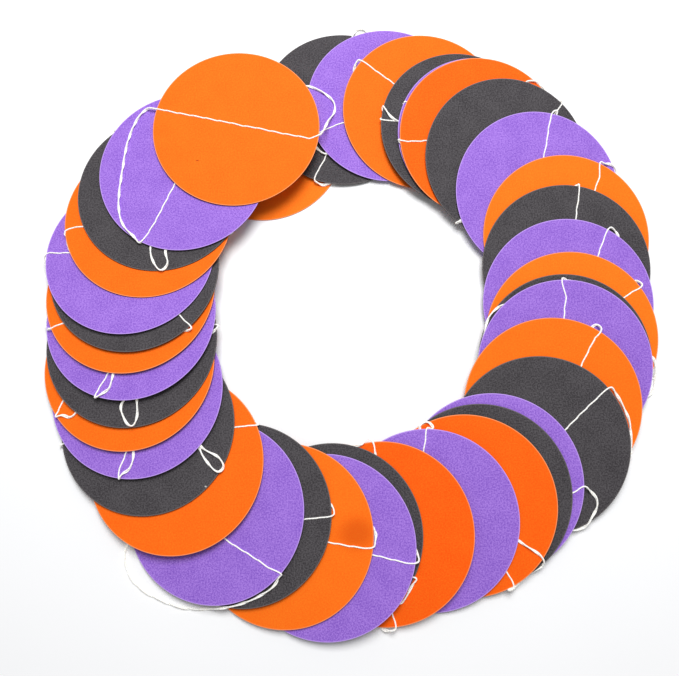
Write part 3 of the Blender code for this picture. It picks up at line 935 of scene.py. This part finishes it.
def make_thread(name, line):
    """A tube with flat closed ends, ridden on the garland. Its UV map is the way along the
    thread, in millimetres, and the angle round it."""
    rings, angle = tube(line, STRAND, TUBE_SIDES)
    count = len(line)
    faces = grid_faces(count, TUBE_SIDES).reshape(-1, 4).tolist()
    faces.append(list(range(TUBE_SIDES))[::-1])
    faces.append(list(range((count - 1) * TUBE_SIDES, count * TUBE_SIDES)))
    piece = new_piece(name, rings.reshape(-1, 3), faces, thread_material)
    way = np.concatenate([[0], np.cumsum(np.linalg.norm(np.diff(line, axis=0), axis=1))])
    turn = np.stack(np.broadcast_arrays(way[:, None], angle[None]), -1).reshape(-1, 2)
    add_uv(piece, "turn", turn)
    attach(piece, "root")
    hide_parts("sewing_thread")
    return piece


for name, line in (("needle_thread", needle_line), ("bobbin_thread", bobbin_line)):
    piece = make_thread(name, line)
    print(name, len(piece.data.polygons), "faces")

# %% [markdown]
# ## The discs
# A punched disc is flat, with edges that the punch rounded a little. Its section is a profile
# from the middle of the top, round the edge, to the middle of the underside, and the disc is
# that profile turned about its middle. A cylinder with a bevel would look alike, but would not
# carry the paler edge with its painted highlight, nor the painted shade on the edge's wall.

# %% Turn a profile into a disc
DISC_SIDES = 144
EDGE_ROUND = 0.07  # the radius of the rounded edges
# The paler band is partly pressed so by the punch and partly a painted highlight.
RIM_BAND = 0.3  # how far in from the edge the card is paler


def disc_profile(half):
    """Distance from the middle, height, and share of the paler edge with its painted highlight
    and of the painted shade on the edge's wall, of each point of the section: a flat top, a
    quarter circle at each edge, and a flat underside."""
    top = np.array([0, 6, 12, 18, 22, DISC_RADIUS - RIM_BAND, DISC_RADIUS - 0.6 * RIM_BAND])
    quarter = np.linspace(0, math.pi / 2, 4)
    round_out = DISC_RADIUS - EDGE_ROUND + EDGE_ROUND * np.sin(quarter)
    round_up = half - EDGE_ROUND + EDGE_ROUND * np.cos(quarter)
    under = np.array([DISC_RADIUS - 1.0, 18, 9, 0])
    away = np.concatenate([top, round_out, round_out[::-1], under])
    height = np.concatenate([np.full(7, half), round_up, -round_up[::-1], np.full(4, -half)])
    # The first share is the paler edge, partly a painted highlight; the second is painted shade
    # on the edge's wall.
    rim_highlight = np.concatenate([np.zeros(6), [0.7], [1, 1, 0.6, 0], np.zeros(8)])
    wall_shade = np.concatenate([np.zeros(7), [0, 0, 0.4, 1], np.ones(4), np.zeros(4)])
    return away, height, {"rim_highlight": rim_highlight, "wall_shade": wall_shade}


def disc_axes(disc):
    """Two axes in the disc's plane: the first as near +X as the plane allows."""
    first = np.array([1.0, 0.0, 0.0]) - disc.normal[0] * disc.normal
    first /= np.linalg.norm(first)
    return first, np.cross(disc.normal, first)


def make_disc(number, name, disc):
    """At each angle, each point of the profile is the disc's middle, plus its distance along
    a spoke in the plane of the frame's own disc, plus its height along the normal."""
    away, height, shares = disc_profile(disc.half)
    angle = np.linspace(0, 2 * math.pi, DISC_SIDES, endpoint=False)
    first, second = disc_axes(disc)
    spoke = np.cos(angle)[:, None] * first + np.sin(angle)[:, None] * second
    inner = slice(1, -1)
    points = away[inner, None, None] * spoke + height[inner, None, None] * disc.normal
    rows = len(away) - 2
    points = np.vstack([points.reshape(-1, 3), height[[0, -1], None] * disc.normal])
    top, bottom = rows * DISC_SIDES, rows * DISC_SIDES + 1
    here = np.arange(DISC_SIDES)
    there = (here + 1) % DISC_SIDES
    last = (rows - 1) * DISC_SIDES
    faces = grid_faces(rows, DISC_SIDES)[..., ::-1].reshape(-1, 4).tolist()
    faces += np.column_stack([np.full(DISC_SIDES, top), here, there]).tolist()
    faces += np.column_stack([np.full(DISC_SIDES, bottom), last + there, last + here]).tolist()
    colour = name.rsplit("_", 1)[1]
    piece = new_piece(f"card_{number:02d}_{colour}", points + disc.middle, faces, cards[colour])
    flat = np.column_stack([points @ first, points @ second])
    add_uv(piece, "sheet", flat + SHEET_STEP * number)
    for key, share in shares.items():
        add_values(piece, key, np.concatenate([np.repeat(share[inner], DISC_SIDES), [0, 0]]))
    # Each disc's tone: partly uneven dye, partly painted light and shade.
    add_values(piece, "tone", np.full(len(points), DYE_AND_LIGHT_TONES.get(number, 0.0)))
    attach(piece, "root")
    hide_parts(name)
    return piece


made = [make_disc(n, name, disc) for n, (name, disc) in enumerate(zip(disc_names, discs), 1)]
print(len(made), "discs of", len(made[0].data.polygons), "faces")

# %% [markdown]
# ## Floor and light
# The garland lies on a plain white table under soft daylight from the far side of the
# table, so the light falls off a little towards the camera's side and each disc throws a
# narrow soft shadow on the one below. A wide area lamp gives that light, and a white sky
# fills the shadows.

# %% Set the floor
FLOOR_HALF = 1500.0
FLOOR_CLOUDS = 12.0  # to a metre


def make_floor():
    """A flat square, far wider than the camera sees, with a faint grain of its own."""
    material, shader = new_material("white_table", Roughness=0.6)
    position = add_node(material, "ShaderNodeTexCoord")
    noise = add_node(
        material, "ShaderNodeTexNoise", None,
        Vector=position.outputs["Object"], Scale=FLOOR_CLOUDS,
    )
    tone = add_node(
        material, "ShaderNodeMix", {"data_type": "RGBA"},
        Factor=noise.outputs["Fac"], _6=linear("#F6F7F9"), _7=linear("#FBFBFC"),
    )
    material.node_tree.links.new(tone.outputs[2], shader.inputs["Base Color"])
    shader.inputs["Specular IOR Level"].default_value = 0.1
    corners = FLOOR_HALF * np.array([[-1, -1, 0], [1, -1, 0], [1, 1, 0], [-1, 1, 0]])
    floor = new_piece("floor", corners, [[0, 1, 2, 3]], material)
    floor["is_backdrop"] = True
    return floor


print("stage:", make_floor().name)

# %% Set the light
LAMP_PLACE = (15.0, 200.0, 420.0)
LAMP_SIDE = 250.0
LAMP_POWER = 2.35  # watts
SKY_STRENGTH = 0.34


def add_lamp():
    """A square area lamp that looks at the middle of the ring: leaned back by the angle
    whose tangent is its distance aside over its height, and turned towards the middle."""
    lamp = bpy.data.objects.new("window", bpy.data.lights.new("window", "AREA"))
    lamp.data.size = LAMP_SIDE * MM
    lamp.data.energy = LAMP_POWER
    place = np.array(LAMP_PLACE) * MM
    lamp.location = place
    flat = math.hypot(place[0], place[1])
    lamp.rotation_euler = (math.atan2(flat, place[2]), 0, math.atan2(place[0], -place[1]))
    bpy.context.scene.collection.objects.link(lamp)
    return lamp


def set_sky():
    """A white world, which gives the same light from every direction."""
    world = bpy.data.worlds.new("white_sky")
    bpy.context.scene.world = world
    world.use_nodes = True
    background = world.node_tree.nodes["Background"]
    background.inputs["Color"].default_value = (1, 1, 1, 1)
    background.inputs["Strength"].default_value = SKY_STRENGTH
    return world


print("light:", add_lamp().name, "and", set_sky().name)
bpy.context.scene.view_settings.view_transform = "Standard"

# %% [markdown]
# ## Closing
# The box around the finished garland and the frame's own box are worked out and printed side by
# side.

# %% Measure and finish
boxes = {"cad": cad_box, "visual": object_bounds()}
boxes = {key: [list(corner) for corner in box] for key, box in boxes.items()}
print("boxes in metres:", boxes)
